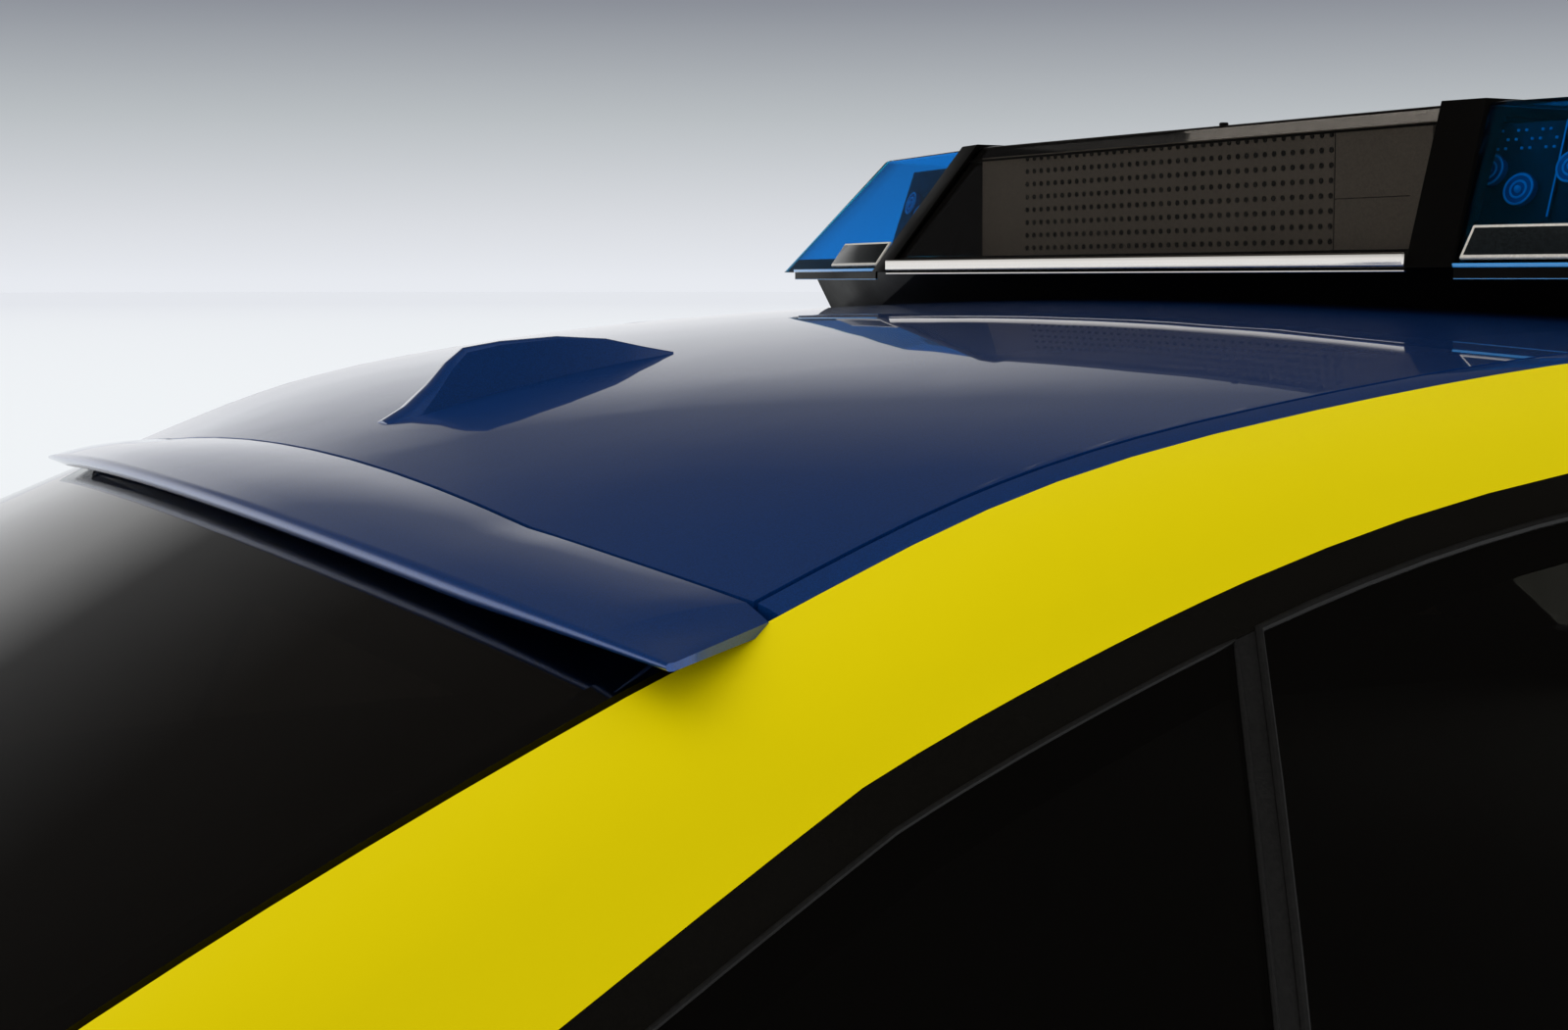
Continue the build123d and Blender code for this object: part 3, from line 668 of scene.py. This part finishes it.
# Framed panes on the domes
PANE_FROM, PANE_TO = 0.304, 0.410
PANE_LOW, PANE_HIGH = 0.0045, 0.0225
PANE_MID = ((PANE_FROM + PANE_TO) / 2, (PANE_LOW + PANE_HIGH) / 2)
PANE_WIDE, PANE_TALL = PANE_TO - PANE_FROM, (PANE_HIGH - PANE_LOW) * math.hypot(1, DOME_LEAN)
PANE_BORDER = 0.0042            # both sides of the frame together
FRAME_T, FRAME_OUT, FRAME_ROUND = 0.0024, 0.0004, 0.0008
PANE_T, PANE_OUT, PANE_ROUND = 0.0030, 0.0005, 0.0003


def foot_bar(sign, face, tall, rise, out, soft):
    """A level bar along a dome's foot."""
    place = on_dome(FOOT_BAR_MID, rise, sign, face, out)
    return block((FOOT_BAR_LONG, tall, FOOT_BAR_T), place, turned(0, SWEEP * sign, face), soft)


def lamp_painted_bright(x, rise, sign, face, slope):
    """The rings and the bulb of a lamp, real parts in a painted highlight colour."""
    painted_bright = []
    for radius in RING_RADII:
        clear_pick()
        bpy.ops.mesh.primitive_torus_add(
            major_radius=radius, minor_radius=RING_WIRE, major_segments=CUP_SIDES, minor_segments=6,
            location=on_board(x, rise, sign, face, RING_OUT), rotation=slope)
        painted_bright.append(bpy.context.object)
    clear_pick()
    bpy.ops.mesh.primitive_uv_sphere_add(
        segments=12, ring_count=8, radius=BULB_RADIUS, location=on_board(x, rise, sign, face, BULB_OUT))
    return painted_bright + [bpy.context.object]


def lamp_cup(x, rise, sign, face, slope):
    """The clear cup of a lamp, on its board."""
    clear_pick()
    bpy.ops.mesh.primitive_cylinder_add(
        vertices=CUP_SIDES, radius=CUP_RADIUS, depth=CUP_DEEP,
        location=on_board(x, rise, sign, face, CUP_DEEP / 2), rotation=slope)
    return bpy.context.object


def chips(sign, face, slope):
    """Small bright chips in rows, every third place empty."""
    return [block(CHIP_SIZE, on_board(CHIP_START + column * CHIP_STEP, rise, sign, face, CHIP_OUT), slope)
            for column in range(CHIP_COLUMNS) for row, rise in enumerate(CHIP_ROWS) if (column * 2 + row) % 3]


for side, sign in SIDES:
    edges, skirts, boards, cups, rim_highlights, frames, panes = [], [], [], [], [], [], []
    for face in FACES:
        edges += [foot_bar(sign, face, *bar) for bar in FOOT_HIGHLIGHTS]
        skirts.append(foot_bar(sign, face, *FOOT_SKIRT))
        slope = turned(BOARD_LEAN, SWEEP * sign, face)
        boards.append(block(BOARD_SIZE, on_board(*BOARD_MID, sign, face, BOARD_IN), slope, BOARD_ROUND))
        boards.append(block(SPLIT_SIZE, on_board(*SPLIT_MID, sign, face), slope))
        for x, rise in LAMPS:
            cups.append(lamp_cup(x, rise, sign, face, slope))
            rim_highlights += lamp_painted_bright(x, rise, sign, face, slope)
        rim_highlights += chips(sign, face, slope)
        rim_highlights.append(block(SPLIT_HIGHLIGHT, on_board(*SPLIT_MID, sign, face, SPLIT_HIGHLIGHT_OUT), slope))
        lying = turned(DOME_LEAN, SWEEP * sign, face)
        outer = (PANE_WIDE, PANE_TALL, FRAME_T)
        inner = (PANE_WIDE - PANE_BORDER, PANE_TALL - PANE_BORDER, PANE_T)
        frames.append(block(outer, on_dome(*PANE_MID, sign, face, FRAME_OUT), lying, FRAME_ROUND))
        panes.append(block(inner, on_dome(*PANE_MID, sign, face, PANE_OUT), lying, PANE_ROUND))
    # The bars along the dome's foot are painted highlights
    done(joined(edges), f"dome_edge_highlight_{side}", dome_edge_highlight)
    done(joined(skirts), f"dome_skirt_{side}", bar_black)
    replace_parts(done(joined(boards), f"lamp_board_{side}", lamp_board), f"lamp_core_{side}")
    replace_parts(done(joined(cups), f"lamp_cups_{side}", lamp_clear), f"lamp_lenses_{side}")
    done(joined(rim_highlights), f"lamp_rims_{side}", lamp_rim_highlight)
    done(joined(frames), f"pane_frame_{side}", pane_trim)
    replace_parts(done(joined(panes), f"pane_{side}", pane_black), f"lamp_pane_{side}")

# Sign plate behind the cover
SIGN_HALF, SIGN_TALL, SIGN_T = 0.233, 0.073, 0.004
SIGN_IN = 0.061                 # from the cover's rear foot
SIGN_Y = BAR_MID - FOOT_DEEP + SIGN_IN
SIGN_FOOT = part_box("sign_panel")[0].z
SIGN_MID = SIGN_FOOT + SIGN_TALL / 2
plate = block((SIGN_HALF * 2, SIGN_T, SIGN_TALL), (0, SIGN_Y, SIGN_MID))
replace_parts(done(plate, "sign_plate", sign_face), "sign_panel")

# Rows of dots on the sign, each a small hollow stud, and its seams
DOT_FROM, DOT_TO, DOT_RISE = -0.1736, 0.1489, 0.0063
DOT_COLUMNS, DOT_ROWS = 38, 8
DOT_PITCH, DOT_ROW_PITCH = (DOT_TO - DOT_FROM) / (DOT_COLUMNS - 1), 0.0091
DOT_RADIUS, DOT_T, DOT_RIM, DOT_HOLLOW = 0.0018, 0.0008, 0.0004, 0.0005
DOT_Y, SEAM_Y = SIGN_Y - 0.0023, SIGN_Y - 0.0021
SEAM_WIDE, SEAM_DEEP = 0.0005, 0.0004
UPRIGHT_X = DOT_TO + 0.003
LEVEL_LONG, LEVEL_X, LEVEL_RISE = 0.064, DOT_TO + 0.035, 0.0315
clear_pick()
bpy.ops.mesh.primitive_cylinder_add(
    vertices=8, radius=DOT_RADIUS, depth=DOT_T, rotation=(math.radians(90), 0, 0),
    location=(DOT_FROM, DOT_Y, SIGN_FOOT + DOT_RISE))
dots = bpy.context.object
bpy.ops.object.transform_apply(location=False, rotation=True, scale=True)
bpy.ops.object.mode_set(mode="EDIT")
bpy.ops.mesh.select_all(action="DESELECT")
bpy.ops.object.mode_set(mode="OBJECT")
for face in dots.data.polygons:
    face.select = face.normal.y < -0.9
bpy.ops.object.mode_set(mode="EDIT")
bpy.ops.mesh.inset(thickness=DOT_RIM)
bpy.ops.transform.translate(value=(0, DOT_HOLLOW, 0))
bpy.ops.object.mode_set(mode="OBJECT")
for count, step in ((DOT_COLUMNS, (DOT_PITCH, 0, 0)), (DOT_ROWS, (0, 0, DOT_ROW_PITCH))):
    grid = dots.modifiers.new("grid", "ARRAY")
    grid.count = count
    grid.use_relative_offset = False
    grid.use_constant_offset = True
    grid.constant_offset_displace = step
    bpy.ops.object.modifier_apply(modifier="grid")
upright = block((SEAM_WIDE, SEAM_DEEP, SIGN_TALL), (UPRIGHT_X, SEAM_Y, SIGN_MID))
level = block((LEVEL_LONG, SEAM_DEEP, SEAM_WIDE), (LEVEL_X, SEAM_Y, SIGN_FOOT + LEVEL_RISE))
done(joined([dots, upright, level]), "sign_dots", sign_hole)

# Floor, pale near the piece and a little darker far off, the darkening a painted shade
FLOOR_RADIUS = 90.0
FLOOR_NEAR, FLOOR_FAR = (0.9, 0.93, 0.955), (0.8, 0.823, 0.871)
FADE_FROM, FADE_TO = 5.0, 45.0
clear_pick()
bpy.ops.mesh.primitive_circle_add(vertices=96, radius=FLOOR_RADIUS, fill_type="NGON", location=(0, 0, 0))
floor = bpy.context.object
floor.name = "floor"
ground = Finish("floor_white", FLOOR_NEAR, Roughness=0.95, Specular_IOR_Level=0.0)
g_place = ground.tree.nodes.new("ShaderNodeTexCoord")
g_length = ground.tree.nodes.new("ShaderNodeVectorMath")
g_length.operation = "LENGTH"
g_range = ground.tree.nodes.new("ShaderNodeMapRange")
g_range.inputs["From Min"].default_value = FADE_FROM
g_range.inputs["From Max"].default_value = FADE_TO
g_mix = ground.tree.nodes.new("ShaderNodeMix")
g_mix.data_type = "RGBA"
g_mix.inputs[6].default_value = (*FLOOR_NEAR, 1.0)
g_mix.inputs[7].default_value = (*FLOOR_FAR, 1.0)
wire(ground.tree, g_place, "Object", g_length, 0)
wire(ground.tree, g_length, "Value", g_range, "Value")
wire(ground.tree, g_range, "Result", g_mix, 0)
wire(ground.tree, g_mix, 2, ground.shader, "Base Color")
floor.data.materials.append(ground.material)

# A soft lamp from above, which no mirror shows
bpy.ops.object.light_add(type="SUN", location=(0, 0, 3), rotation=(math.radians(25), math.radians(-20), 0))
lamp = bpy.context.object
lamp.name = "soft_lamp"
lamp.data.energy = 0.7
lamp.data.angle = math.radians(50)
lamp.visible_glossy = False

# Surroundings: one picture for the camera, one for reflections and an even light for the rest
world = bpy.data.worlds.new("studio")
scene.world = world
world.use_nodes = True
sky = world.node_tree
sky.nodes.clear()


def shade_ramp(stops):
    """Colour by height of the direction; a stop is the sine of its elevation and its colour."""
    ramp = sky.nodes.new("ShaderNodeValToRGB")
    low, high = stops[0][0], stops[-1][0]
    fit = sky.nodes.new("ShaderNodeMapRange")
    fit.inputs["From Min"].default_value = low
    fit.inputs["From Max"].default_value = high
    wire(sky, heights, "Z", fit, "Value")
    wire(sky, fit, "Result", ramp, "Fac")
    for height, _ in stops[1:-1]:
        ramp.color_ramp.elements.new((height - low) / (high - low))
    for (height, color), element in zip(stops, ramp.color_ramp.elements):
        element.position = (height - low) / (high - low)
        element.color = (*color, 1.0)
    return ramp


direction = sky.nodes.new("ShaderNodeTexCoord")
heights = sky.nodes.new("ShaderNodeSeparateXYZ")
wire(sky, direction, "Generated", heights, 0)
backdrop = shade_ramp((
    (-0.08, (0.905, 0.939, 0.965)), (0.0, (0.80, 0.823, 0.871)), (0.0246, (0.70, 0.72, 0.76)),
    (0.0696, (0.485, 0.515, 0.539)), (0.118, (0.258, 0.275, 0.314)), (0.4, (0.15, 0.16, 0.18))))
mirrored = shade_ramp((
    (-0.2, (0.9, 0.9, 0.92)), (0.06, (0.86, 0.87, 0.89)), (0.216, (0.5, 0.5, 0.5)),
    (0.3, (0.12, 0.12, 0.12)), (0.454, (0.04, 0.037, 0.034)), (0.56, (0.035, 0.031, 0.027)),
    (0.8, (0.04, 0.036, 0.032)), (1.0, (0.2, 0.2, 0.2))))
path = sky.nodes.new("ShaderNodeLightPath")
light_even = sky.nodes.new("ShaderNodeBackground")
light_even.inputs["Color"].default_value = (1.0, 1.0, 1.0, 1.0)
light_even.inputs["Strength"].default_value = 0.78
back_seen = sky.nodes.new("ShaderNodeBackground")
wire(sky, backdrop, "Color", back_seen, "Color")
back_gloss = sky.nodes.new("ShaderNodeBackground")
wire(sky, mirrored, "Color", back_gloss, "Color")
mix_gloss = sky.nodes.new("ShaderNodeMixShader")
mix_seen = sky.nodes.new("ShaderNodeMixShader")
through = sky.nodes.new("ShaderNodeMath")
through.operation = "MAXIMUM"
wire(sky, path, "Is Camera Ray", through, 0)
wire(sky, path, "Is Transmission Ray", through, 1)
wire(sky, path, "Is Glossy Ray", mix_gloss, 0)
wire(sky, light_even, 0, mix_gloss, 1)
wire(sky, back_gloss, 0, mix_gloss, 2)
wire(sky, through, 0, mix_seen, 0)
wire(sky, mix_gloss, 0, mix_seen, 1)
wire(sky, back_seen, 0, mix_seen, 2)
sky_end = sky.nodes.new("ShaderNodeOutputWorld")
wire(sky, mix_seen, 0, sky_end, "Surface")
